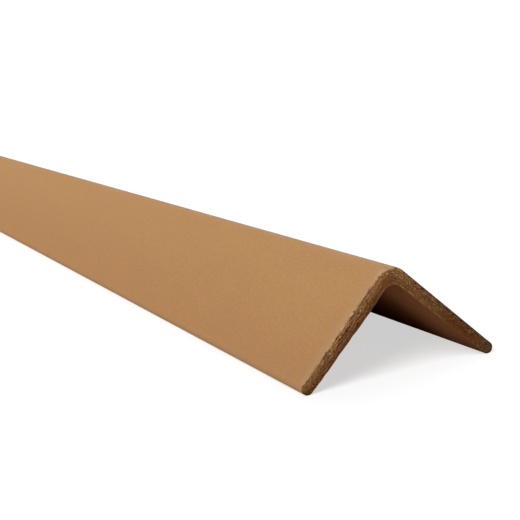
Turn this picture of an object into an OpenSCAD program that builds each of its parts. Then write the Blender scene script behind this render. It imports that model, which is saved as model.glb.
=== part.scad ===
// Pallet edge protector: an angle of laminated paperboard, standing on its two leg edges with the fold up

/* [Board] */
// Length of the board, from one sawn end to the other
board_length = 800; // [200:50:2400]
// Width of each leg, measured down its outer face from the sharp corner of the fold
leg_width = 50; // [35:1:100]
// Angle between the two outer faces
fold_angle = 90; // [84:1:100]

/* [Wall] */
// Thickness of the wall where the inner faces meet at the fold
wall_at_fold = 4.8; // [3:0.1:8]
// Thickness of the wall at the leg edges, where the plies thin out
wall_at_edge = 4; // [2:0.1:6]

/* [Fold] */
// Radius round the outside of the fold
fold_outer_r = 6; // [3:0.1:9]
// Radius in the inner corner of the fold
fold_inner_r = 4; // [1:0.1:10]

/* [Hidden] */
$fn = 96;
kraft_colour = [0.72, 0.54, 0.36];

// The outer faces lean out from the upright by half the fold, and the inner faces by the taper more
half_fold = fold_angle / 2;
taper = atan((wall_at_fold - wall_at_edge) / (leg_width - wall_at_fold / tan(half_fold)));
half_inner = half_fold + taper;

// Each leg edge is a full round that touches the outer face, the inner face and the end of the leg
edge_r = wall_at_edge / (1 + 1 / cos(taper) - tan(taper));
edge_reach = leg_width - edge_r;

// The sharp corners of the two pairs of faces, above the surface that the leg edges stand on
corner_height = edge_reach * cos(half_fold) + edge_r * sin(half_fold) + edge_r;
inner_corner_height = corner_height - wall_at_fold / sin(half_fold);

// Centres of the arcs that round the two corners
outer_arc_height = corner_height - fold_outer_r / sin(half_fold);
inner_arc_height = inner_corner_height - fold_inner_r / sin(half_inner);

// A point in the right leg's section, so far down its outer face and so deep into the wall
function leg_point(reach, depth) = [
    reach * sin(half_fold) - depth * cos(half_fold),
    corner_height - reach * cos(half_fold) - depth * sin(half_fold)
];

// A closed outline from the points of its right half, listed from the top down
function both_sides(right) = concat(
    right,
    [for (i = [len(right) - 1 : -1 : 0]) [-right[i][0], right[i][1]]]
);

// Where the rounds of the leg edges are centred, and where they run into the inner faces
edge_center = leg_point(edge_reach, edge_r);
inner_edge_point = leg_point(edge_reach + edge_r * sin(taper), edge_r + edge_r * cos(taper));

// The cut for the load runs on past both ends of the board
load_length = board_length + 2 * leg_width;

// Runs one outline along Y, with its middle over the origin
module run_along(length) {
    rotate([90, 0, 0])
        linear_extrude(height = length, center = true)
            children();
}

// The board with the space below the fold filled in
module filled_board() {
    run_along(board_length)
        polygon(both_sides([
            leg_point(fold_outer_r / tan(half_fold), 0),
            leg_point(edge_reach, 0),
            inner_edge_point
        ]));
    run_along(board_length)
        translate([0, outer_arc_height]) circle(r = fold_outer_r);
    for (side = [-1, 1])
        run_along(board_length)
            translate([side * edge_center[0], edge_center[1]]) circle(r = edge_r);
}

// The space below the fold, where the corner of the load goes, run on below the leg edges
module load_space() {
    run_along(load_length)
        polygon(both_sides([
            [fold_inner_r * cos(half_inner), inner_arc_height + fold_inner_r * sin(half_inner)],
            inner_edge_point,
            [inner_edge_point[0], -edge_r]
        ]));
    run_along(load_length)
        translate([0, inner_arc_height]) circle(r = fold_inner_r);
}

module angle_board() {
    color(kraft_colour)
        difference() {
            filled_board();
            load_space();
        }
}

angle_board();
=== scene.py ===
# %% [markdown]
# # A paperboard angle for the edges of pallet loads
# The real object is a stack of brown paper plies, glued together under a kraft liner and formed into an
# angle while the glue is wet. It is sawn to length, so its ends show the plies. The CAD part is one exact
# solid with that section. This lesson rebuilds its surface with sawn ends and paper finishes.

import math
import random

import bmesh
import bpy
from mathutils import Matrix, Vector, noise


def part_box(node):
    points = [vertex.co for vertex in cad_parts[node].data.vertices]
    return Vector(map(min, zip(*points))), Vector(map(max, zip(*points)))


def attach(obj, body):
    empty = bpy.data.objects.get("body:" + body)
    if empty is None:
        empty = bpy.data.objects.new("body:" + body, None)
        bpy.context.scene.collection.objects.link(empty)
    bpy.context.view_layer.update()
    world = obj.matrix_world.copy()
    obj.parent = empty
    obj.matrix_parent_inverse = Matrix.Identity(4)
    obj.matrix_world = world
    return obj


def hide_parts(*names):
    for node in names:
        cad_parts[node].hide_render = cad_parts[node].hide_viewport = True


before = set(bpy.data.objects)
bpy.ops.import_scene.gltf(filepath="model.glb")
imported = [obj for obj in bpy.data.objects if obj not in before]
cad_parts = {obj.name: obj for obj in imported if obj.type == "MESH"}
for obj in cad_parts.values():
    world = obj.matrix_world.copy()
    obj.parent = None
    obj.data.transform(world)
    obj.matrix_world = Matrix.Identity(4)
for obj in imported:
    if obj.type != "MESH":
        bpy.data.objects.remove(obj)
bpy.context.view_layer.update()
board_low, board_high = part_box("angle_board")

# %% [markdown]
# ## The sizes of the section
# Two legs meet in a rounded fold, the wall thins towards the leg edges, and each leg edge is a full round.
# The outline could be read from the CAD mesh, but that says nothing of the plies inside the wall. The few
# driving sizes are stated again instead, and the rest is worked out from them as it is for the solid.

# %% Sizes of the section
MM = 0.001
LEG_WIDTH = 50 * MM
WALL_AT_FOLD = 4.8 * MM
WALL_AT_EDGE = 4.0 * MM
FOLD_OUTER_R = 6.0 * MM
FOLD_INNER_R = 4.0 * MM
HALF_FOLD = math.radians(45)

TAPER = math.atan((WALL_AT_FOLD - WALL_AT_EDGE) / (LEG_WIDTH - WALL_AT_FOLD / math.tan(HALF_FOLD)))
HALF_INNER = HALF_FOLD + TAPER
EDGE_R = WALL_AT_EDGE / (1 + 1 / math.cos(TAPER) - math.tan(TAPER))
EDGE_REACH = LEG_WIDTH - EDGE_R
CORNER_HEIGHT = EDGE_REACH * math.cos(HALF_FOLD) + EDGE_R * math.sin(HALF_FOLD) + EDGE_R
print(f"sharp corner of the fold {CORNER_HEIGHT / MM:.2f} mm up, leg edges rounded to {EDGE_R / MM:.2f} mm")

# %% [markdown]
# ## The camera
# The photograph was taken from the left of the board's near end, a little above it, with a long lens that
# was tilted slightly. A camera can be set by eye, but then the render never quite lies over the photograph.
# These values come from fitting the edges of the end in a 520 pixel square frame. The camera's place is
# measured from the sharp corner of the fold.

# %% Place the camera
CAMERA_FROM_CORNER = Vector((-186.0, -355.8, 80.7)) * MM
CAMERA_AZIMUTH = math.radians(-21.84)
CAMERA_DOWN = math.radians(10.82)
CAMERA_ROLL = math.radians(-6.48)
LENS_PIXELS = 1305.5
FRAME_PIXELS = 520
SENSOR_WIDTH = 36
CLIP_START = 10 * MM


def put_in_scene(name, data):
    """A new object of the scene that holds some data: a camera, a mesh or a light."""
    made = bpy.data.objects.new(name, data)
    bpy.context.scene.collection.objects.link(made)
    return made


camera_data = bpy.data.cameras.new("camera")
camera_data.sensor_width = SENSOR_WIDTH
camera_data.lens = LENS_PIXELS * SENSOR_WIDTH / FRAME_PIXELS
camera_data.clip_start = CLIP_START
camera = put_in_scene("camera", camera_data)
bpy.context.scene.camera = camera

forward = Vector((
    -math.sin(CAMERA_AZIMUTH) * math.cos(CAMERA_DOWN),
    math.cos(CAMERA_AZIMUTH) * math.cos(CAMERA_DOWN),
    -math.sin(CAMERA_DOWN),
))
level_right = forward.cross(Vector((0, 0, 1))).normalized()
level_up = level_right.cross(forward)
right = level_right * math.cos(CAMERA_ROLL) + level_up * math.sin(CAMERA_ROLL)
up = right.cross(forward)
turn = Matrix((right, up, -forward)).transposed().to_4x4()
near_corner = Vector((0, board_low.y, CORNER_HEIGHT))
camera.matrix_world = Matrix.Translation(near_corner + CAMERA_FROM_CORNER) @ turn
print(f"lens {camera_data.lens:.1f} mm, camera at {[round(x, 3) for x in camera.location]}")

# %% [markdown]
# ## The section as a bent sheet
# The wall is thin and bent, and its plies follow the bend. The faces of the CAD mesh are long and thin and
# can't take torn paper, and a remesh would cut across the plies. A sheet of grid cells can follow them: one
# side of the grid runs along the section from leg edge to leg edge, the other through the wall. Each grid
# point is laid between a point of the outer outline and its partner on the inner one.

# %% Outlines of the right leg
ALONG = Vector((math.sin(HALF_FOLD), 0, -math.cos(HALF_FOLD)))
INTO = Vector((-math.cos(HALF_FOLD), 0, -math.sin(HALF_FOLD)))
CORNER = Vector((0, 0, CORNER_HEIGHT))
OUTER_ARC = CORNER - Vector((0, 0, FOLD_OUTER_R / math.sin(HALF_FOLD)))
INNER_CORNER = CORNER - Vector((0, 0, WALL_AT_FOLD / math.sin(HALF_FOLD)))
INNER_ARC = INNER_CORNER - Vector((0, 0, FOLD_INNER_R / math.sin(HALF_INNER)))
OUTER_TURN = math.pi / 2 - HALF_FOLD
INNER_TURN = math.pi / 2 - HALF_INNER

OUTER_START = CORNER + ALONG * (FOLD_OUTER_R / math.tan(HALF_FOLD))
OUTER_END = CORNER + ALONG * EDGE_REACH
INNER_START = INNER_ARC + FOLD_INNER_R * Vector((math.cos(HALF_INNER), 0, math.sin(HALF_INNER)))
INNER_REACH = EDGE_REACH + EDGE_R * math.sin(TAPER)
INNER_END = CORNER + ALONG * INNER_REACH + INTO * EDGE_R * (1 + math.cos(TAPER))
EDGE_OUT = Matrix.Rotation(math.pi / 2, 3, "Y") @ (INNER_END - OUTER_END).normalized()
EDGE_OUT *= 1 if EDGE_OUT.dot(ALONG) > 0 else -1

FOLD_RUN = (FOLD_OUTER_R * OUTER_TURN + FOLD_INNER_R * INNER_TURN) / 2
LEG_RUN = (OUTER_END - OUTER_START).length + EDGE_R
HALF_RUN = FOLD_RUN + LEG_RUN
print(f"a leg is {HALF_RUN / MM:.1f} mm from the middle of the fold to its edge")

# %% Lay a point of the grid into the section
ROUND_SHARE = 0.15


def section_point(run, depth):
    """The place of a grid point: run from -1 to 1 across both legs, depth from -1 outside to 1 inside."""
    distance = abs(run) * HALF_RUN
    bulge = 0.0
    if distance <= FOLD_RUN:
        share = distance / FOLD_RUN
        outer_angle = share * OUTER_TURN
        inner_angle = share * INNER_TURN
        outer = OUTER_ARC + FOLD_OUTER_R * Vector((math.sin(outer_angle), 0, math.cos(outer_angle)))
        inner = INNER_ARC + FOLD_INNER_R * Vector((math.sin(inner_angle), 0, math.cos(inner_angle)))
    else:
        share = (distance - FOLD_RUN) / LEG_RUN
        bulge = max(0.0, (share - 1 + ROUND_SHARE) / ROUND_SHARE) ** 2
        reach = (share * LEG_RUN - bulge * EDGE_R) / (LEG_RUN - EDGE_R)
        outer = OUTER_START.lerp(OUTER_END, reach)
        inner = INNER_START.lerp(INNER_END, reach)
    angle = depth * math.pi / 2
    through = depth + (math.sin(angle) - depth) * bulge
    place = outer.lerp(inner, (through + 1) / 2) + EDGE_OUT * (bulge * EDGE_R * math.cos(angle))
    if run < 0:
        place.x = -place.x
    return place


fold_top = section_point(0, -1)
print(f"the top of the fold is {fold_top.z / MM:.2f} mm up")

# %% [markdown]
# ## From the sheet to the board
# A plain extrusion of the outline would have no points on its ends or along its walls to move. The bent
# sheet is extruded along the length, which closes the board with a second sheet at the far end, and cuts
# divide the long walls. A sine packs the cuts towards the ends, where the edge of the paper is ragged. Every
# point remembers where it lies in the section, so that the finishes can follow the plies.

# %% Bend the sheet
PLIES = 12
ROWS = 3 * PLIES
COLUMNS = 480

board = bmesh.new()
bmesh.ops.create_grid(board, x_segments=COLUMNS, y_segments=ROWS, size=1)
run_layer = board.verts.layers.float.new("run_mm")
depth_layer = board.verts.layers.float.new("ply_depth")
torn_layer = board.verts.layers.float.new("torn")
for vert in board.verts:
    run, depth = vert.co.x, vert.co.y
    vert[run_layer] = run * HALF_RUN / MM
    vert[depth_layer] = (depth + 1) / 2
    vert.co = section_point(run, depth)
    vert.co.y = board_low.y
print(f"the sheet has {len(board.faces)} cells for {PLIES} plies")

# %% Extrude the board and cut its walls
BOARD_LENGTH = board_high.y - board_low.y
MIDDLE_Y = (board_low.y + board_high.y) / 2
WALL_CUTS = 24

extruded = bmesh.ops.extrude_face_region(board, geom=board.faces[:])
far_verts = [part for part in extruded["geom"] if isinstance(part, bmesh.types.BMVert)]
bmesh.ops.translate(board, vec=(0, BOARD_LENGTH, 0), verts=far_verts)
long_edges = [edge for edge in board.edges if edge.calc_length() > BOARD_LENGTH / 2]
bmesh.ops.subdivide_edges(board, edges=long_edges, cuts=WALL_CUTS, use_grid_fill=True)

for vert in board.verts:
    share = (vert.co.y - MIDDLE_Y) / (BOARD_LENGTH / 2)
    vert.co.y = MIDDLE_Y + BOARD_LENGTH / 2 * math.sin(share * math.pi / 2)
bmesh.ops.recalc_face_normals(board, faces=board.faces[:])
print(f"board: {len(board.verts)} points, {len(board.faces)} faces, {len(long_edges)} long edges")

# %% [markdown]
# ## What the saw does to the cut
# A saw doesn't leave glued paper flat. It shears the outer plies back, rubs the liner round over the cut
# and opens some of the glue lines. A bump map could shade that, but it leaves the rim straight, so the
# relief is pushed into the mesh. Small functions give each kind of it in millimetres behind the end plane,
# from how far along the section a point lies and how many plies deep. No point comes forward of that plane.

# %% Helpers for the relief
MEAN_WALL = (WALL_AT_FOLD + WALL_AT_EDGE) / 2 / MM
PLIES_PER_MM = PLIES / MEAN_WALL
LEFT_LEG_FROM, LEFT_LEG_FULL = 5, 9
RIGHT_LEG_FULL = 8


def fade(value, start, full):
    """0 up to the start, 1 from full on, and even between them."""
    return max(0.0, min(1.0, (value - start) / (full - start)))


def dome(offset):
    """1 in the middle, falling in a curve to 0 at an offset of 1."""
    return max(0.0, 1 - offset ** 2)


def tent(offset):
    """1 in the middle, falling in a straight line to 0 at an offset of 1."""
    return max(0.0, 1 - abs(offset))


def waver(x, y, z):
    """Smooth noise around 0 at a place."""
    return noise.noise(Vector((x, y, z)))


def on_left_leg(run_mm):
    """1 on the left leg and 0 on the fold and the right leg, with a short passage between them."""
    return fade(-run_mm, LEFT_LEG_FROM, LEFT_LEG_FULL)


def on_right_leg(run_mm):
    """1 on the right leg and 0 on the left leg, with a passage on the right half of the fold."""
    return fade(run_mm, 0, RIGHT_LEG_FULL)


print(f"a ply is {1 / PLIES_PER_MM:.2f} mm thick")

# %% Shear the outer plies and roll the liner over
SHEAR_LEFT, SHEAR_RIGHT = 0.30, 0.12
SHEAR_TURNS_OVER = 12.0
SHEARED_PLIES = 5.2
SHEAR_POWER = 1.15
ROLL_DEPTH = 1.0
ROLL_PLIES = 2.4
ROLL_RUN, ROLL_HALF = -2.5, 6.0
ROLL_ON_LEFT = 0.15


def shear(run_mm, ply):
    """How far the saw has sheared the outer plies back, more on the left leg than on the right."""
    depth = SHEAR_LEFT + (SHEAR_RIGHT - SHEAR_LEFT) * fade(run_mm, -SHEAR_TURNS_OVER, SHEAR_TURNS_OVER)
    return depth * fade(ply, SHEARED_PLIES, 0) ** SHEAR_POWER


def roll(run_mm, ply):
    """How far the liner is rubbed round over the cut, most at the fold and less down the left leg."""
    at_fold = dome((run_mm - ROLL_RUN) / ROLL_HALF)
    down_left = ROLL_ON_LEFT if run_mm < ROLL_RUN else 0.0
    return ROLL_DEPTH * max(at_fold, down_left) * fade(ply, ROLL_PLIES, 0) ** 2


print(f"at the rim of the fold: sheared {shear(0, 0):.2f} mm, rolled {roll(0, 0):.2f} mm")

# %% Open glue lines
LINE_WANDER = 0.6
OPEN_LINE_RUN, OPEN_LINE_HALF = -24.0, 4.8
OPEN_LINE_PLY, OPEN_LINE_PLIES = 5.5, 1.5
OPEN_LINE_DEPTH = 0.5
OPEN_LINE_WAVE = 2.5
LINER_GAP_PLY, LINER_GAP_PLIES = 2.3, 0.8
LINER_GAP_DEPTH = 0.6
LINER_GAP_WAVE, LINER_GAP_SPACING = 4, 2
GAP_USUAL, GAP_WIDEST = 0.3, 0.5


def open_line(run_mm, ply):
    """One glue line on the left leg has come apart for a centimetre."""
    line_ply = OPEN_LINE_PLY + LINE_WANDER * waver(run_mm / OPEN_LINE_WAVE, 0.5, 0.5)
    along_line = dome((run_mm - OPEN_LINE_RUN) / OPEN_LINE_HALF)
    return OPEN_LINE_DEPTH * along_line * tent((ply - line_ply) / OPEN_LINE_PLIES)


def liner_gap(run_mm, ply):
    """The liner has come away from the plies here and there along the left leg."""
    line_ply = LINER_GAP_PLY + LINE_WANDER * waver(run_mm / LINER_GAP_WAVE, 3.5, 0.5)
    opening = max(0.0, min(GAP_WIDEST, GAP_USUAL + waver(run_mm / LINER_GAP_SPACING, 7.5, 0.5)))
    return LINER_GAP_DEPTH * opening * on_left_leg(run_mm) * dome((ply - line_ply) / LINER_GAP_PLIES)


print(f"the open line is {open_line(OPEN_LINE_RUN, OPEN_LINE_PLY):.2f} mm deep in its middle")

# %% [markdown]
# ## Torn plies
# Where the blade pulls, fibres come out of the cut and leave pits, raised tufts and cracks between plies.
# They could be cut one by one, but there are hundreds on each end, so they come from cell noise that is
# drawn out along the plies. How hard the saw tears changes over the end: least under the rubbed liner, most
# just under the fold.

# %% Scatter spots over a sawn end
SPOT_LENGTH, SPOT_WIDTH = 5.2, 2.4
SPOT_REACH, REACH_DRIFT = 0.27, 0.10
DRIFT_RUN, DRIFT_PLIES = 9, 5


def spots(run_mm, ply, seed, size):
    """Spots of some size, drawn out along the plies: 1 in the middle of a spot and 0 around it."""
    depth_mm = ply / PLIES_PER_MM
    place = Vector((run_mm / (SPOT_LENGTH * size), depth_mm / (SPOT_WIDTH * size), seed))
    reach = SPOT_REACH + REACH_DRIFT * waver(run_mm / DRIFT_RUN, ply / DRIFT_PLIES, seed)
    distance = noise.voronoi(place)[0][0]
    return fade(distance, reach, reach / 2)


print(f"a spot of size 1 lies in a cell of {SPOT_LENGTH} by {SPOT_WIDTH} mm")

# %% How hard the saw tears
INNER_FROM, INNER_FULL = 4.8, 9.0
INNER_AT_FOLD, INNER_ON_LEFT, INNER_ON_RIGHT = -0.2, 0.6, -0.4
OUTER_ON_RIGHT = 0.8
RUBBED_PLIES, RUBBED_LOSS = 3.0, 0.7
UNDER_FOLD_RUN, UNDER_FOLD_HALF = -1, 6
UNDER_FOLD_PLY, UNDER_FOLD_PLIES = 3.6, 2
UNDER_FOLD_GAIN = 1.4


def tear_strength(run_mm, ply):
    """How hard the saw tears, around 1: less in the rubbed plies, more just under the fold."""
    right_leg = on_right_leg(run_mm)
    inner_plies = fade(ply, INNER_FROM, INNER_FULL)
    rubbed_plies = fade(ply, RUBBED_PLIES, 0) * (1 - right_leg)
    under_fold = tent((run_mm - UNDER_FOLD_RUN) / UNDER_FOLD_HALF)
    under_fold *= tent((ply - UNDER_FOLD_PLY) / UNDER_FOLD_PLIES)
    inner_change = INNER_AT_FOLD + INNER_ON_LEFT * on_left_leg(run_mm) + INNER_ON_RIGHT * right_leg
    inner_gain = 1 + inner_change * inner_plies
    outer_gain = 1 + OUTER_ON_RIGHT * right_leg * (1 - inner_plies)
    return outer_gain * (1 + UNDER_FOLD_GAIN * under_fold) * inner_gain * (1 - RUBBED_LOSS * rubbed_plies)


print(f"strength under the fold {tear_strength(UNDER_FOLD_RUN, UNDER_FOLD_PLY):.2f}")

# %% Pits, tufts and cracks
PIT_SIZE, PIT_DEPTH = 0.30, 0.45
TUFT_SIZE, TUFT_RISE = 0.32, 0.18
RIPPLE, RIPPLE_RUN, RIPPLE_PLIES = 0.10, 2.2, 2
FIBRE_STEP, FIBRE_RUN, FIBRES_PER_PLY = 0.05, 0.6, 1.3
GLUE_LINE_HALF, GLUE_LINE_DEPTH = 0.1, 0.04
CRACK_RUN, CRACK_APART = 9, 3.7
CRACK_FROM, CRACK_DEPTH = 0.30, 1.0
NEAR_SEED = 1.5


def tear(run_mm, ply, seed):
    """How far pits, tufts and open glue lines depart from the plain cut, in millimetres."""
    pit = PIT_DEPTH * spots(run_mm, ply, seed + 11, PIT_SIZE)
    tuft = TUFT_RISE * spots(run_mm, ply, seed + 17, TUFT_SIZE)
    ripple = RIPPLE * waver(run_mm / RIPPLE_RUN, ply / RIPPLE_PLIES, seed + 5)
    fibre = FIBRE_STEP * waver(run_mm / FIBRE_RUN, ply * FIBRES_PER_PLY, seed + 7)
    torn = (pit - tuft + ripple) * tear_strength(run_mm, ply) + fibre
    if abs(ply - round(ply)) < GLUE_LINE_HALF:
        opening = waver(run_mm / CRACK_RUN, round(ply) * CRACK_APART, seed + 23)
        torn += GLUE_LINE_DEPTH + CRACK_DEPTH * max(0.0, opening - CRACK_FROM)
    return torn + open_line(run_mm, ply) + liner_gap(run_mm, ply)


print(f"in the open line the cut is torn by {tear(OPEN_LINE_RUN, OPEN_LINE_PLY, NEAR_SEED):.2f} mm")

# %% [markdown]
# ## The rim of the liner
# The liner chips where the blade enters, and where it leaves the left leg it pushes the inner liner out into
# the space under the fold, as a ragged lip. A bevel would make an even rim, so the rim is moved point by
# point too. At the end the parts of the relief are added up, with a step of its own for each ply.

# %% Chip the liner and push its inner lip out
NOTCH_RUN, NOTCH_DEPTH = 2.0, 1.1
NICK_RUN, NICK_DEPTH = 0.8, 0.4
CHIP_FROM, DEEPEST_CHIP = 0.10, 0.7
CHIP_PLIES = 1.8
CHIPS_ELSEWHERE = 0.15
LIP_REACH, LIP_WAVE = 0.32, 2.5
LIP_USUAL, LIP_WANDER = 0.8, 0.6
LIP_FROM, LIP_FULL = -46.0, -41.0


def chip(run_mm, ply, seed):
    """How much of the outer liner and the plies under it has chipped off, most on the left leg."""
    notch = NOTCH_DEPTH * max(0.0, waver(run_mm / NOTCH_RUN, 0.5, seed + 31) - CHIP_FROM)
    nick = NICK_DEPTH * max(0.0, waver(run_mm / NICK_RUN, 0.5, seed + 41) - CHIP_FROM)
    share = CHIPS_ELSEWHERE + (1 - CHIPS_ELSEWHERE) * on_left_leg(run_mm)
    return share * min(DEEPEST_CHIP, notch + nick) * fade(ply, CHIP_PLIES, 0)


def lip(run_mm):
    """How far the inner liner is pushed sideways off the left leg at the cut, in millimetres."""
    ragged = LIP_USUAL + LIP_WANDER * waver(run_mm / LIP_WAVE, 9.5, 0.5)
    return LIP_REACH * ragged * fade(run_mm, LIP_FROM, LIP_FULL) * on_left_leg(run_mm)


print(f"half way down the left leg the lip reaches {lip(-25):.2f} mm")

# %% Add the relief up
SAW_RECESS, LEAST_RECESS = 0.30, 0.05
PLY_STEP, STEP_RUN, STEP_APART = 0.10, 11, 5.3
RIM_RECESS, RIM_SLOPE_PLIES = 0.06, 2.0
RIM_WANDER, RIM_RUN = 0.05, 3
RIM_TOLERANCE = 0.01


def saw_relief(run_mm, ply, seed):
    """How far a point of a sawn end lies behind the end plane, in millimetres."""
    layer = math.floor(min(ply, PLIES - RIM_TOLERANCE))
    step = PLY_STEP * waver(run_mm / STEP_RUN, layer * STEP_APART, seed)
    recess = RIM_RECESS + (SAW_RECESS + step - RIM_RECESS) * fade(ply, 0, RIM_SLOPE_PLIES)
    pressed = shear(run_mm, ply) + roll(run_mm, ply)
    torn = tear(run_mm, ply, seed) + chip(run_mm, ply, seed)
    return max(LEAST_RECESS, recess + pressed + torn)


def rim_relief(run_mm, ply, seed):
    """How far the torn rim of the liner lies behind the end plane, in millimetres."""
    wander = RIM_WANDER * waver(run_mm / RIM_RUN, ply, seed + 37)
    pressed = shear(run_mm, ply) + roll(run_mm, ply)
    return RIM_RECESS + wander + chip(run_mm, ply, seed) + pressed


print(f"relief in the middle of the fold: {saw_relief(0, PLIES / 2, NEAR_SEED):.2f} mm")

# %% [markdown]
# ## A board that isn't quite flat
# Paper that was wet and dried again is never quite flat, so light drifts along its faces. A noise texture on
# a Displace modifier could do that, but it moves the ends as well. Here each point of the liner is laid into
# the section once more, sunk by a few hundredths of a millimetre. Points at the ends then take the relief of
# the saw, and remember how far they are torn, so that the colour of the plies can follow.

# %% Sink the liner in faint waves
LINER_SINK, WAVE_DEPTH = 0.015, 0.07
WAVE_RUN, WAVE_LENGTH = 35, 70
HALF_WALL = WALL_AT_EDGE / 2


def on_liner(run_mm, ply):
    """Whether a point lies on the board's skin, and not inside a sawn end."""
    on_side = ply < RIM_TOLERANCE or ply > PLIES - RIM_TOLERANCE
    return on_side or abs(run_mm) > HALF_RUN / MM - RIM_TOLERANCE


def liner_point(run_mm, ply, length_y, pushed):
    """A point of the liner, sunk by long faint waves, and pushed off the inside by some millimetres."""
    swell = waver(run_mm / WAVE_RUN, ply, length_y / MM / WAVE_LENGTH)
    sink = (LINER_SINK + WAVE_DEPTH * (1 + swell) / 2) * MM
    run = run_mm * MM / HALF_RUN * (1 - sink / HALF_RUN)
    depth = (2 * ply / PLIES - 1) * (1 - sink / HALF_WALL) + pushed * MM / HALF_WALL
    return section_point(run, depth)


print(f"the liner sinks by {LINER_SINK} to {LINER_SINK + WAVE_DEPTH:.3f} mm")

# %% Push the relief into the board
FAR_SEED = 61.5
ENDS = ((board_low.y, 1, NEAR_SEED), (board_high.y, -1, FAR_SEED))
END_TOLERANCE = 0.1 * MM
CHIP_SHOWS = 0.25

deepest = 0.0
for vert in board.verts:
    run_mm = vert[run_layer]
    ply = vert[depth_layer] * PLIES
    length_y = vert.co.y
    skin = on_liner(run_mm, ply)
    end = next((each for each in ENDS if abs(length_y - each[0]) < END_TOLERANCE), None)
    if skin:
        pushed = lip(run_mm) if end and ply > PLIES - RIM_TOLERANCE else 0.0
        vert.co = liner_point(run_mm, ply, length_y, pushed)
    if end:
        end_y, inward, seed = end
        relief = rim_relief(run_mm, ply, seed) if skin else saw_relief(run_mm, ply, seed)
        torn = 0.0 if skin else tear(run_mm, ply, seed)
        # Chips are counted as torn, so the sawn material paints them darker as shade.
        vert[torn_layer] = torn + CHIP_SHOWS * chip(run_mm, ply, seed)
        length_y = end_y + inward * relief * MM
        deepest = max(deepest, relief)
    vert.co.y = length_y
print(f"the deepest tear is {deepest:.2f} mm")

# %% Tell the sawn ends from the liner
OUTSIDE, INSIDE, SAWN = 0, 1, 2
FLAT = 0.001


def spread(face, layer):
    """How much a value that is kept on the points differs over a face."""
    values = [vert[layer] for vert in face.verts]
    return max(values) - min(values)


for face in board.faces:
    face.smooth = True
    if spread(face, depth_layer) > FLAT and spread(face, run_layer) > FLAT:
        face.material_index = SAWN
    elif all(vert[depth_layer] > 1 - FLAT for vert in face.verts):
        face.material_index = INSIDE
    else:
        face.material_index = OUTSIDE
for edge in board.edges:
    sides = {face.material_index for face in edge.link_faces}
    edge.smooth = SAWN not in sides or len(sides) == 1
sawn_count = sum(face.material_index == SAWN for face in board.faces)
print(f"{sawn_count} of {len(board.faces)} faces are on the sawn ends")

# %% Finish the board
def mesh_of(name, shape):
    """A mesh with the shape of a bmesh, which is freed."""
    mesh = bpy.data.meshes.new(name)
    shape.to_mesh(mesh)
    shape.free()
    return mesh


board_mesh = mesh_of("kraft_angle", board)
kraft_angle = put_in_scene("kraft_angle", board_mesh)
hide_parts("angle_board")
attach(kraft_angle, "root")
print(f"{kraft_angle.name}: {len(board_mesh.vertices)} points")

# %% [markdown]
# ## Frayed fibres
# Paper tears into fibres, so a sawn end is hairy close up. A particle system could grow them, but it isn't
# mesh and wouldn't reach the exported model. One bent three-sided strand is made instead, and copies of it
# are laid on the ends. They lie along the plies, and their tips stay behind the end plane.

# %% Make one strand
STRAND_ROOT, STRAND_TIP = 0.055, 0.012
STRAND_HALF = 0.5
STRAND_CUTS = 3
STRAND_CURL = 0.28

strand = bmesh.new()
bmesh.ops.create_cone(
    strand, cap_ends=True, segments=3, radius1=STRAND_ROOT, radius2=STRAND_TIP, depth=2 * STRAND_HALF)
long_sides = [edge for edge in strand.edges if edge.calc_length() > STRAND_HALF]
bmesh.ops.subdivide_edges(strand, edges=long_sides, cuts=STRAND_CUTS, use_grid_fill=True)
bmesh.ops.translate(strand, vec=(0, 0, STRAND_HALF), verts=strand.verts[:])
for vert in strand.verts:
    vert.co.x += STRAND_CURL * vert.co.z ** 2
strand_mesh = mesh_of("strand", strand)
print(f"one strand has {len(strand_mesh.polygons)} faces")

# %% Lay a strand on a sawn end
SHORTEST, LONGEST = 0.5, 1.9
ROOT_SUNK = 0.05
CLEAR_OF_END = 0.06
chance = random.Random(12)
fibres = bmesh.new()


def lay_strand(run, ply, end, slant):
    """Copies the strand to a place on a sawn end, lying along the ply but for its slant."""
    end_y, inward, seed = end
    depth = 2 * ply / PLIES - 1
    root = section_point(run, depth)
    length = SHORTEST + (LONGEST - SHORTEST) * chance.random() ** 2
    way = chance.choice((-1, 1))
    along_ply = (section_point(run + way * length * MM / HALF_RUN, depth) - root).normalized()
    across_plies = along_ply.cross(Vector((0, 1, 0)))
    recess = saw_relief(run * HALF_RUN / MM, ply, seed)
    root.y = end_y + inward * (recess + ROOT_SUNK) * MM
    heading = (along_ply + across_plies * chance.gauss(0, slant)) * length
    heading.y = -inward * chance.random() * max(0.0, recess - CLEAR_OF_END)
    spin = Matrix.Rotation(chance.uniform(0, math.tau), 4, "Z")
    facing = heading.to_track_quat("Z", "X").to_matrix().to_4x4() @ spin
    known = len(fibres.verts)
    fibres.from_mesh(strand_mesh)
    fibres.verts.ensure_lookup_table()
    place = Matrix.Translation(root) @ facing @ Matrix.Scale(length * MM, 4)
    bmesh.ops.transform(fibres, matrix=place, verts=fibres.verts[known:])


# %% Spread the strands and gather some in wisps
STRANDS_PER_END = 520
STRAND_REACH, STRAND_SLANT = 0.95, 0.25
FIRST_PLY, OUTER_PLIES = 0.4, 4
STRANDS_PER_WISP = 30
WISPS = ((-18.5, 4.4), (-33.0, 2.6), (-9.0, 3.4), (-1.0, 2.6), (21.0, 5.0), (37.0, 3.6))
WISP_RUN, WISP_PLIES, WISP_SLANT = 0.7, 0.9, 0.6
WISP_MARGIN = 0.5

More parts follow.
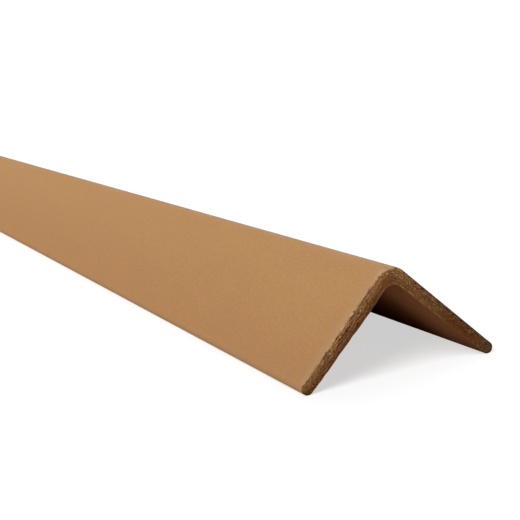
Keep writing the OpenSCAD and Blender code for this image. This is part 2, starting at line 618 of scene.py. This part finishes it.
for end in ENDS:
    for _ in range(STRANDS_PER_END):
        outer_ply = chance.uniform(FIRST_PLY, OUTER_PLIES)
        any_ply = chance.uniform(FIRST_PLY, PLIES - FIRST_PLY)
        ply = chance.choice((outer_ply, any_ply))
        lay_strand(chance.uniform(-STRAND_REACH, STRAND_REACH), ply, end, STRAND_SLANT)
    for wisp_run, wisp_ply in WISPS:
        for _ in range(STRANDS_PER_WISP):
            run = (wisp_run + chance.gauss(0, WISP_RUN)) * MM / HALF_RUN
            ply = wisp_ply + chance.gauss(0, WISP_PLIES)
            lay_strand(run, min(max(ply, WISP_MARGIN), PLIES - WISP_MARGIN), end, WISP_SLANT)
print(f"the strands have {len(fibres.verts)} points")

# %% Keep the fibres inside the board's box
SPARE = 0.03 * MM

for vert in fibres.verts:
    for axis in range(3):
        vert.co[axis] = min(max(vert.co[axis], board_low[axis] + SPARE), board_high[axis] - SPARE)
bmesh.ops.recalc_face_normals(fibres, faces=fibres.faces[:])
for face in fibres.faces:
    face.smooth = True
fibres_mesh = mesh_of("frayed_fibres", fibres)
frayed_fibres = put_in_scene("frayed_fibres", fibres_mesh)
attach(frayed_fibres, "root")
print(f"{len(fibres_mesh.polygons) // len(strand_mesh.polygons)} strands, {len(fibres_mesh.polygons)} faces")

# %% [markdown]
# ## The grain of paper
# Every surface of the board is paper: it has clouds where the pulp lay thicker, fine fibres that follow the
# machine direction, and a few dark flecks. A photograph of paper could be wrapped round it, but its tiles
# would repeat along so long a board. One node group makes what the materials share from noise. It puts out
# plain masks, and each material gives it coordinates and decides what the masks do to colour and roughness.

# %% Helpers for nodes
def add(tree, kind, inputs=None, **settings):
    """Adds a node with its settings, and gives its inputs a value or a link."""
    node = tree.nodes.new(kind)
    for name, value in settings.items():
        setattr(node, name, value)
    for name, value in (inputs or {}).items():
        if isinstance(value, bpy.types.NodeSocket):
            tree.links.new(value, node.inputs[name])
        else:
            node.inputs[name].default_value = value
    return node


def blend(tree, mask, first, second, kind="MIX"):
    """Mixes two colours by a mask and returns the colour's socket."""
    node = add(tree, "ShaderNodeMix", {0: mask, 6: first, 7: second}, data_type="RGBA", blend_type=kind)
    return node.outputs[2]


def ramp(tree, value, low, high, low_to=0.0, high_to=1.0):
    """Maps a value from one range to another, smoothly, and returns the socket."""
    inputs = {"Value": value, "From Min": low, "From Max": high, "To Min": low_to, "To Max": high_to}
    return add(tree, "ShaderNodeMapRange", inputs, interpolation_type="SMOOTHSTEP").outputs[0]


def sums(tree, kind, first, second):
    """One step of arithmetic between two values, which returns the socket."""
    return add(tree, "ShaderNodeMath", {0: first, 1: second}, operation=kind).outputs[0]


def times(tree, first, second):
    """The product of two values."""
    return sums(tree, "MULTIPLY", first, second)


def distance_from(tree, value, middle):
    """How far a value is from a middle, on either side."""
    return sums(tree, "ABSOLUTE", sums(tree, "SUBTRACT", value, middle), 0.0)


# %% The group of paper masks
NOISE_RANGE = (0.3, 0.7)
FLECKED_CELLS = (0.7, 1.0)
LARGEST_FLECK = 0.075

grain = bpy.data.node_groups.new("paper_grain", "ShaderNodeTree")
grain.interface.new_socket("Place", in_out="INPUT", socket_type="NodeSocketVector")
for name in ("Cloud", "Fibre", "Fleck"):
    grain.interface.new_socket(name, in_out="OUTPUT", socket_type="NodeSocketFloat")
entry = add(grain, "NodeGroupInput").outputs["Place"]
leave = add(grain, "NodeGroupOutput")

cloud = add(grain, "ShaderNodeTexNoise", {"Vector": entry, "Scale": 0.07, "Detail": 4.0, "Roughness": 0.55})
fibre = add(grain, "ShaderNodeTexNoise", {"Vector": entry, "Scale": 1.6, "Detail": 3.0, "Roughness": 0.6})
cells = add(grain, "ShaderNodeTexVoronoi", {"Vector": entry, "Scale": 0.22, "Randomness": 1.0})
cell_value = add(grain, "ShaderNodeSeparateColor", {"Color": cells.outputs["Color"]}).outputs[0]
fleck_reach = ramp(grain, cell_value, *FLECKED_CELLS, 0.0, LARGEST_FLECK)
fleck = sums(grain, "LESS_THAN", cells.outputs["Distance"], fleck_reach)
grain.links.new(ramp(grain, cloud.outputs[0], *NOISE_RANGE), leave.inputs["Cloud"])
grain.links.new(ramp(grain, fibre.outputs[0], *NOISE_RANGE), leave.inputs["Fibre"])
grain.links.new(fleck, leave.inputs["Fleck"])
print(f"paper_grain has {len(grain.nodes)} nodes")

# %% [markdown]
# ## The kraft liner
# The liner is smooth brown paper. Its tone drifts by a few per cent in long clouds. It is painted paler
# towards the fold and darker towards the leg edges, as painted light and shade. Outside it is rubbed paler
# along the cut and the leg edges. Inside it is redder, and painted darker at the same places, most at its
# foot, as painted shade. Two materials could be built apart, but they differ only in tones, reach and gloss,
# so one function makes both. Its masks come from the board's length and the run.

# %% Paper materials
def paper_material(name, gloss):
    """A new material with its shader, and its Object coordinates."""
    material = bpy.data.materials.new(name)
    material.use_nodes = True
    tree = material.node_tree
    shader = tree.nodes["Principled BSDF"]
    shader.inputs["Specular IOR Level"].default_value = gloss
    place = add(tree, "ShaderNodeTexCoord").outputs["Object"]
    return material, tree, shader, place


def paper_masks(tree, place, stretch):
    """The masks of the paper group in millimetres, with the pattern drawn out along each axis."""
    scale = [1 / MM / factor for factor in stretch]
    vector = add(tree, "ShaderNodeMapping", {"Vector": place, "Scale": scale}).outputs[0]
    node = add(tree, "ShaderNodeGroup", node_tree=grain)
    tree.links.new(vector, node.inputs["Place"])
    return node.outputs


def kept_value(tree, name):
    """A value that every point of the board remembers."""
    return add(tree, "ShaderNodeAttribute", attribute_name=name).outputs["Fac"]


def shade_by(tree, tone, value):
    """A tone made lighter or darker by a value around 1."""
    grey = add(tree, "ShaderNodeCombineColor", {0: value, 1: value, 2: value}).outputs[0]
    return blend(tree, 1.0, tone, grey, "MULTIPLY")


def roughen(tree, shader, height, strength, distance):
    """Gives a shader a fine relief from a value."""
    bump = add(tree, "ShaderNodeBump", {"Height": height, "Strength": strength, "Distance": distance})
    tree.links.new(bump.outputs[0], shader.inputs["Normal"])


# %% How a liner is made
LINER_STRETCH = (1, 3, 1)
# Painted light and shade: the liner is paler towards the fold and darker towards the leg edges.
PAINTED_FOLD_LIGHT_RUN, PAINTED_FOLD_LIGHT_SHARE = (48.0, 4.0), 0.7
CLOUD_SHARE = 0.3
FIBRE_SHADE = (0.955, 1.045)
FOOT_RUN = (20.0, 48.0)
LEG_EDGE_RUN, LEG_EDGE_SHARE = (46.5, 49.0), 0.5
LINER_ROUGHNESS = (0.66, 0.78)
FLECK_TONE = (0.260, 0.125, 0.052, 1)


def wear_and_shade_mask(tree, place, from_fold, reach):
    """Where wear and painted shade go: 1 at the cut, fading over a reach along the board, and a half at the
    leg edges.
    """
    along_board = add(tree, "ShaderNodeSeparateXYZ", {"Vector": place}).outputs[1]
    near_cut = ramp(tree, distance_from(tree, along_board, 0.0), board_high.y - reach, board_high.y)
    on_leg_edge = ramp(tree, from_fold, *LEG_EDGE_RUN, 0.0, LEG_EDGE_SHARE)
    return sums(tree, "MAXIMUM", near_cut, on_leg_edge)


def liner_material(name, tones, wear_and_shade_reach, gloss):
    """Kraft paper between two tones, and two more at the cut and leg edges, near the fold and at its foot:
    wear outside, painted shade inside.
    """
    pale, dark, wear_and_shade, foot_wear_and_shade = tones
    material, tree, shader, place = paper_material(name, gloss)
    masks = paper_masks(tree, place, LINER_STRETCH)
    from_fold = distance_from(tree, kept_value(tree, "run_mm"), 0.0)
    # Painted light and shade, paler towards the fold.
    painted_fold_light = ramp(tree, from_fold, *PAINTED_FOLD_LIGHT_RUN, 0.0, PAINTED_FOLD_LIGHT_SHARE)
    paleness = sums(tree, "ADD", painted_fold_light, ramp(tree, masks["Cloud"], 0, 1, 0.0, CLOUD_SHARE))
    tone = blend(tree, paleness, dark, pale)
    tone = shade_by(tree, tone, ramp(tree, masks["Fibre"], 0, 1, *FIBRE_SHADE))
    # Outside this is wear, inside it is painted shade.
    wear_and_shade_tone = blend(tree, ramp(tree, from_fold, *FOOT_RUN), wear_and_shade, foot_wear_and_shade)
    tone = blend(tree, wear_and_shade_mask(tree, place, from_fold, wear_and_shade_reach), tone, wear_and_shade_tone)
    tone = blend(tree, masks["Fleck"], tone, FLECK_TONE)
    tree.links.new(tone, shader.inputs["Base Color"])
    tree.links.new(ramp(tree, masks["Cloud"], 0, 1, *LINER_ROUGHNESS), shader.inputs["Roughness"])
    roughen(tree, shader, masks["Fibre"], strength=0.25, distance=0.03 * MM)
    print(f"{name}: {len(tree.nodes)} nodes")
    return material


# %% Make the outer and the inner liner
LINER_PALE = (0.474, 0.257, 0.104, 1)
LINER_DARK = (0.416, 0.213, 0.087, 1)
LINER_RUBBED = (0.452, 0.264, 0.132, 1)
LINER_FOOT = (0.416, 0.240, 0.120, 1)
INSIDE_PALE = (0.500, 0.214, 0.092, 1)
INSIDE_DARK = (0.410, 0.166, 0.070, 1)
# The inner liner's darker tones along the cut and the leg edges, darkest at its foot, are painted shade.
INSIDE_PAINTED_SHADE = (0.276, 0.111, 0.047, 1)
INSIDE_FOOT_PAINTED_SHADE = (0.164, 0.064, 0.028, 1)
RUBBED_EDGE = 6.5 * MM
INSIDE_SHADE_REACH = 28 * MM

outer_tones = (LINER_PALE, LINER_DARK, LINER_RUBBED, LINER_FOOT)
inner_tones = (INSIDE_PALE, INSIDE_DARK, INSIDE_PAINTED_SHADE, INSIDE_FOOT_PAINTED_SHADE)
outer_liner = liner_material("kraft_liner", outer_tones, RUBBED_EDGE, gloss=0.1)
inner_liner = liner_material("inner_liner", inner_tones, INSIDE_SHADE_REACH, gloss=0.0)

# %% [markdown]
# ## The sawn plies
# On the cut the plies show as bands that follow the section. Object coordinates can't bend with the fold,
# and a UV map would repeat what the points already know, so this material reads the values that each point
# remembers: how far along the section it lies, how deep in the wall, and how far it is torn. Each ply gets a
# tone of its own, and tufts and pits break it up. The saw's faint level scratches are on Object coordinates.

# %% Coordinates that follow the plies
FAR_END_SHIFT = 170.0

sawn, tree, shader, place = paper_material("sawn_plies", 0.0)
run_here = kept_value(tree, "run_mm")
depth_here = kept_value(tree, "ply_depth")
torn_here = kept_value(tree, "torn")
along_board = add(tree, "ShaderNodeSeparateXYZ", {"Vector": place}).outputs[1]
far_end = sums(tree, "GREATER_THAN", along_board, 0.0)
run_at_end = sums(tree, "ADD", run_here, times(tree, far_end, FAR_END_SHIFT))
depth_mm = times(tree, depth_here, MEAN_WALL)
ply_number = sums(tree, "FLOOR", times(tree, depth_here, float(PLIES)), 0.0)


def on_plies(run_scale, depth_value):
    """A pattern's coordinates along the run and through the wall."""
    inputs = {"X": times(tree, run_at_end, run_scale), "Y": depth_value}
    return add(tree, "ShaderNodeCombineXYZ", inputs).outputs[0]


def noise_at(vector, scale, detail, roughness):
    """Noise at some coordinates, as a value."""
    inputs = {"Vector": vector, "Scale": scale, "Detail": detail, "Roughness": roughness}
    return add(tree, "ShaderNodeTexNoise", inputs).outputs[0]


def run_mask(start, full, least=0.0, most=1.0):
    """A mask that changes along the run, which is in millimetres."""
    return ramp(tree, run_here, start, full, least, most)


def depth_mask(start, full):
    """A mask that changes through the wall, from 0 outside to 1 inside."""
    return ramp(tree, depth_here, start, full)


print(f"the far end takes its pattern {FAR_END_SHIFT:.0f} mm further along")

# %% Plies, tufts, pits and saw marks
SAWN_TONE = (0.386, 0.179, 0.069, 1)
SAWN_DARK = (0.260, 0.116, 0.042, 1)
SAWN_PALE = (0.560, 0.345, 0.176, 1)
# Dark pit tone of the paper, also used as the painted shade of deep tears.
PITS_AND_SHADE = (0.115, 0.050, 0.019, 1)
BAND_DRIFT, BAND_APART = 0.08, 7.7
TUFT_STRETCH = 0.7
SCRATCH_SCALE = (0.25 / MM, 0, 1.6 / MM)
PALE_TUFTS, PALE_SHARE = (0.50, 0.75), 0.4
DARK_TUFTS, DARK_SHARE = (0.48, 0.30), 0.5
RAISED, DEEP_TEAR_SHADE = (-0.04, -0.16), (0.12, 0.42)
SCRATCH_SHADE = (0.88, 1.12)

on_bands = on_plies(BAND_DRIFT, times(tree, ply_number, BAND_APART))
bands = noise_at(on_bands, scale=1.0, detail=1.0, roughness=0.5)
tufts = noise_at(on_plies(TUFT_STRETCH, depth_mm), scale=1.4, detail=4.0, roughness=0.6)
level = add(tree, "ShaderNodeMapping", {"Vector": place, "Scale": SCRATCH_SCALE}).outputs[0]
scratches = noise_at(level, scale=1.0, detail=3.0, roughness=0.6)
tone = blend(tree, ramp(tree, bands, *NOISE_RANGE), SAWN_DARK, SAWN_TONE)
tone = blend(tree, ramp(tree, tufts, *PALE_TUFTS, 0.0, PALE_SHARE), tone, SAWN_PALE)
tone = blend(tree, ramp(tree, tufts, *DARK_TUFTS, 0.0, DARK_SHARE), tone, PITS_AND_SHADE)
tone = blend(tree, ramp(tree, torn_here, *RAISED), tone, SAWN_PALE)
# Painted shade: where the cut is torn deep, in pits, cracks, open glue lines and chips, it turns to the pit
# tone.
tone = blend(tree, ramp(tree, torn_here, *DEEP_TEAR_SHADE), tone, PITS_AND_SHADE)
tone = shade_by(tree, tone, ramp(tree, scratches, *NOISE_RANGE, *SCRATCH_SHADE))
print(f"plain plies: {len(tree.nodes)} nodes")

# %% [markdown]
# ## Scorch and painted shade on the cut
# The right leg is scorched, as where a blade runs hot, and its outer rim is painted dark as painted shade.
# The inner plies are denser and darker, the pale liner shows where it was rubbed over the cut, and the leg
# edges are painted darker where they stand on the ground, as painted shade. Such marks could be painted by
# hand on an image, but they follow the run and the depth, so each one is a mask of those, blended over what
# was there before.

# %% Scorch the right leg and darken the inner plies
SCORCHED = (0.430, 0.310, 0.258, 1)
# The darker outer edge of the right leg is painted shade.
RIGHT_RIM_PAINTED_SHADE = (0.620, 0.640, 0.720, 1)
DENSE_PLIES = (0.650, 0.570, 0.510, 1)
DARK_PLIES = (0.860, 0.840, 0.840, 1)
SCORCHED_RUN, UNSCORCHED_RUN = (-12.0, 34.0), (14.0, -4.0)
RIGHT_RIM_SHADE_DEPTH = (0.30, 0.12)
BEND_MIDDLE, BEND_REACH = -2.0, (6.0, 1.0)
DENSE_DEPTH, DENSE_SHIFT = (0.46, 0.60), 0.10
DARK_DEPTH, DARK_RUN = (0.70, 0.82), (20.0, 4.0)

scorch = run_mask(*SCORCHED_RUN)
tone = blend(tree, scorch, tone, SCORCHED, "MULTIPLY")
# Painted shade: the outer plies of the right leg darken where its rim rounds over into shade.
right_rim_painted_shade = times(tree, depth_mask(*RIGHT_RIM_SHADE_DEPTH), scorch)
tone = blend(tree, right_rim_painted_shade, tone, RIGHT_RIM_PAINTED_SHADE, "MULTIPLY")
from_bend = distance_from(tree, run_here, BEND_MIDDLE)
dense_here = sums(tree, "ADD", depth_here, ramp(tree, from_bend, *BEND_REACH, 0.0, DENSE_SHIFT))
dense = times(tree, ramp(tree, dense_here, *DENSE_DEPTH), run_mask(*UNSCORCHED_RUN))
tone = blend(tree, dense, tone, DENSE_PLIES, "MULTIPLY")
dark = times(tree, depth_mask(*DARK_DEPTH), run_mask(*DARK_RUN))
tone = blend(tree, dark, tone, DARK_PLIES, "MULTIPLY")
print(f"scorched plies: {len(tree.nodes)} nodes")

# %% Show the cut edges of both liners
CUT_SKIN = (0.565, 0.335, 0.170, 1)
INSIDE_SKIN = (0.210, 0.084, 0.034, 1)
# On the left leg the cut edge of the inner liner is painted near black, as painted shade.
INSIDE_EDGE_SHADE_LEFT = (0.075, 0.042, 0.024, 1)
RAGGED_EDGE = (0.06, -0.06)
CUT_SKIN_DEPTH, CUT_SKIN_SHIFT = (0.18, 0.10), 0.03
CUT_SKIN_RUN, CUT_SKIN_LEAST = (6.0, -1.0), 0.1
CUT_SKIN_TORN = (0.40, 0.12)
INSIDE_SKIN_RUN = (-10.0, -4.0)
INSIDE_SKIN_DEPTH, INSIDE_SKIN_SHIFT = (0.89, 0.95), 0.03

ragged_depth = sums(tree, "ADD", depth_here, ramp(tree, tufts, *NOISE_RANGE, *RAGGED_EDGE))
at_bend = ramp(tree, from_bend, *BEND_REACH, 0.0, CUT_SKIN_SHIFT)
cut_skin = ramp(tree, sums(tree, "SUBTRACT", ragged_depth, at_bend), *CUT_SKIN_DEPTH)
cut_skin = times(tree, cut_skin, run_mask(*CUT_SKIN_RUN, CUT_SKIN_LEAST))
cut_skin = times(tree, cut_skin, ramp(tree, torn_here, *CUT_SKIN_TORN))
tone = blend(tree, cut_skin, tone, CUT_SKIN)
# Painted shade on the inner liner's cut edge along the left leg.
inside_tone_and_shade = blend(tree, run_mask(*INSIDE_SKIN_RUN), INSIDE_EDGE_SHADE_LEFT, INSIDE_SKIN)
inside_start = run_mask(*INSIDE_SKIN_RUN, INSIDE_SKIN_SHIFT, 0.0)
inside_skin = ramp(tree, sums(tree, "SUBTRACT", depth_here, inside_start), *INSIDE_SKIN_DEPTH)
tone = blend(tree, inside_skin, tone, inside_tone_and_shade)
print(f"with the cut liners: {len(tree.nodes)} nodes")

# %% Paint shade on the leg edges and the rim
# Painted shade: the cut darkens towards the tip of the right leg, which stands on the floor.
TIP_PAINTED_SHADE = (0.125, 0.066, 0.031, 1)
# Painted shade on the cut of the left foot, where it stands on the floor.
FOOT_PAINTED_SHADE = (0.650, 0.630, 0.600, 1)
# A near black for painted shade on the rim and the rounded leg edges.
RIM_PAINTED_SHADE = (0.035, 0.023, 0.016, 1)
TIP_RUN = HALF_RUN / MM
BEFORE_TIP, AT_TIP = 0.9, 0.2
ROUND_FROM, ROUND_FULL = TIP_RUN - BEFORE_TIP, TIP_RUN - AT_TIP
TIP_SHADE_RUN, TIP_SHADE_SHARE = (39.0, 47.0), 0.8
LEFT_FOOT_RUN = (-42.0, -46.0)
LEFT_FOOT_STARTS, LEFT_FOOT_ENDS = (0.15, 0.40), (0.85, 0.60)
RIM_SHADE_DEPTH = (0.09, 0.03)
RIM_SHADE_RUN, RIM_SHADE_SHARE = (4.0, 16.0), 0.85
SOLE_DEPTH, SOLE_SHARE = (0.2, 0.5), 0.7

# Painted shade towards the tip of the right leg.
tone = blend(tree, run_mask(*TIP_SHADE_RUN, 0.0, TIP_SHADE_SHARE), tone, TIP_PAINTED_SHADE)
# Painted shade on the left foot's cut.
foot = times(tree, depth_mask(*LEFT_FOOT_STARTS), depth_mask(*LEFT_FOOT_ENDS))
foot = times(tree, foot, run_mask(*LEFT_FOOT_RUN))
tone = blend(tree, foot, tone, FOOT_PAINTED_SHADE, "MULTIPLY")
# Painted shade on the outer rim and the rounded tip of the right leg, and on the sole of the left foot.
painted_rim_shade = sums(tree, "MAXIMUM", depth_mask(*RIM_SHADE_DEPTH), run_mask(ROUND_FROM, ROUND_FULL))
painted_rim_shade = times(tree, painted_rim_shade, run_mask(*RIM_SHADE_RUN, 0.0, RIM_SHADE_SHARE))
sole = times(tree, run_mask(-ROUND_FROM, -ROUND_FULL, 0.0, SOLE_SHARE), depth_mask(*SOLE_DEPTH))
tone = blend(tree, sums(tree, "MAXIMUM", painted_rim_shade, sole), tone, RIM_PAINTED_SHADE)
print(f"soiled and burnt: {len(tree.nodes)} nodes")

# %% Leave a broken pale line beside the inner liner
LINE_DEPTH, LINE_HALF = 0.91, (0.06, 0.02)
LINE_STARTS = (-3.0, 5.0)
LINE_ENDS, LINE_SHARE = (30.0, 16.0), 0.48
LINE_BREAKS = (0.42, 0.52)

pale_line = times(tree, run_mask(*LINE_STARTS), run_mask(*LINE_ENDS, 0.0, LINE_SHARE))
pale_line = times(tree, pale_line, ramp(tree, tufts, *LINE_BREAKS))
from_line = distance_from(tree, depth_here, LINE_DEPTH)
pale_line = times(tree, pale_line, ramp(tree, from_line, *LINE_HALF))
tone = blend(tree, pale_line, tone, LINER_RUBBED)
print(f"with the pale line: {len(tree.nodes)} nodes")

# %% Finish the sawn material
SAWN_ROUGHNESS = 0.95

tree.links.new(tone, shader.inputs["Base Color"])
shader.inputs["Roughness"].default_value = SAWN_ROUGHNESS
roughen(tree, shader, tufts, strength=0.5, distance=0.15 * MM)
for material in (outer_liner, inner_liner, sawn):
    kraft_angle.data.materials.append(material)
print(f"{sawn.name}: {len(tree.nodes)} nodes")

# %% [markdown]
# ## The fibres' colour
# Loose fibres are paler than the wall that they come from, because light passes through them. A material
# that lets light through would show that, but on strands this thin a paler tone looks the same. They share
# the paper's grain, packed closer, so that neighbouring strands differ in tone.

# %% Make the fibre material
FIBRE_PALE = (0.520, 0.330, 0.170, 1)
FIBRE_BROWN = (0.280, 0.145, 0.062, 1)
FIBRE_STRETCH = (0.35, 0.35, 0.35)
FIBRE_ROUGHNESS = 0.9

fibre_stock, tree, shader, place = paper_material("loose_fibres", 0.0)
masks = paper_masks(tree, place, FIBRE_STRETCH)
tone = blend(tree, masks["Fibre"], FIBRE_BROWN, FIBRE_PALE)
tree.links.new(tone, shader.inputs["Base Color"])
shader.inputs["Roughness"].default_value = FIBRE_ROUGHNESS
frayed_fibres.data.materials.append(fibre_stock)
print(f"{fibre_stock.name}: {len(tree.nodes)} nodes")

# %% [markdown]
# ## Floor, light and background
# The photograph has a white ground and one broad soft light from the upper left. An area lamp would fade
# along so long a board, so a sun with a wide angle gives that light evenly, and a weak one from behind keeps
# the far side from going black. A floor that is lit to white would throw too much light up under the board.
# This one shows the camera white, with the board's shadow on it, and gives back what a pale floor would.

# %% Lay the floor
FLOOR_REACH = 12.0
FLOOR_SHOWN = (0.50, 0.50, 0.50, 1)
FLOOR_GIVES_BACK = (0.72, 0.70, 0.66, 1)
FLOOR_LIFT = 0.60
WHITE = (1, 1, 1, 1)


def seen_rays(tree):
    """1 for rays that show a surface to the camera, directly, in gloss or through glass, and 0 for light."""
    path = add(tree, "ShaderNodeLightPath").outputs
    seen = sums(tree, "MAXIMUM", path["Is Camera Ray"], path["Is Glossy Ray"])
    return sums(tree, "MAXIMUM", seen, path["Is Transmission Ray"])


floor_plan = bmesh.new()
bmesh.ops.create_grid(floor_plan, x_segments=1, y_segments=1, size=FLOOR_REACH)
floor = put_in_scene("floor", mesh_of("floor", floor_plan))

floor_paint = bpy.data.materials.new("floor_paint")
floor_paint.use_nodes = True
tree = floor_paint.node_tree
tree.nodes.clear()
seen = seen_rays(tree)
lit = add(tree, "ShaderNodeBsdfDiffuse", {"Color": blend(tree, seen, FLOOR_GIVES_BACK, FLOOR_SHOWN)})
glow = add(tree, "ShaderNodeEmission", {"Color": WHITE, "Strength": times(tree, seen, FLOOR_LIFT)})
shown = add(tree, "ShaderNodeAddShader", {0: lit.outputs[0], 1: glow.outputs[0]})
add(tree, "ShaderNodeOutputMaterial", {"Surface": shown.outputs[0]})
floor.data.materials.append(floor_paint)
print(f"floor of {2 * FLOOR_REACH:.0f} m square")

# %% Light the board
KEY_FROM, KEY_STRENGTH, KEY_ANGLE = (-0.58, -0.38, 0.72), 2.75, 40
FILL_FROM, FILL_STRENGTH, FILL_ANGLE = (0.60, 0.55, 0.50), 1.0, 60


def add_sun(name, from_where, strength, angle):
    """A sun that shines from a direction, with soft shadows where its angle is wide."""
    data = bpy.data.lights.new(name, "SUN")
    data.energy = strength
    data.angle = math.radians(angle)
    light = put_in_scene(name, data)
    light.rotation_euler = Vector(from_where).to_track_quat("Z", "Y").to_euler()
    print(f"{name}: strength {strength}, {angle} degrees wide")


add_sun("key", KEY_FROM, KEY_STRENGTH, KEY_ANGLE)
add_sun("fill_from_behind", FILL_FROM, FILL_STRENGTH, FILL_ANGLE)

# %% Show a white background
AMBIENT, SHOWN = 0.08, 1.0

world = bpy.data.worlds.new("studio")
world.use_nodes = True
tree = world.node_tree
tree.nodes.clear()
strength = ramp(tree, seen_rays(tree), 0, 1, AMBIENT, SHOWN)
sky = add(tree, "ShaderNodeBackground", {"Color": WHITE, "Strength": strength})
add(tree, "ShaderNodeOutputWorld", {"Surface": sky.outputs[0]})
bpy.context.scene.world = world
bpy.context.scene.view_settings.view_transform = "Standard"
print(f"{world.name}: {AMBIENT} of light on the board, {SHOWN} to the camera")
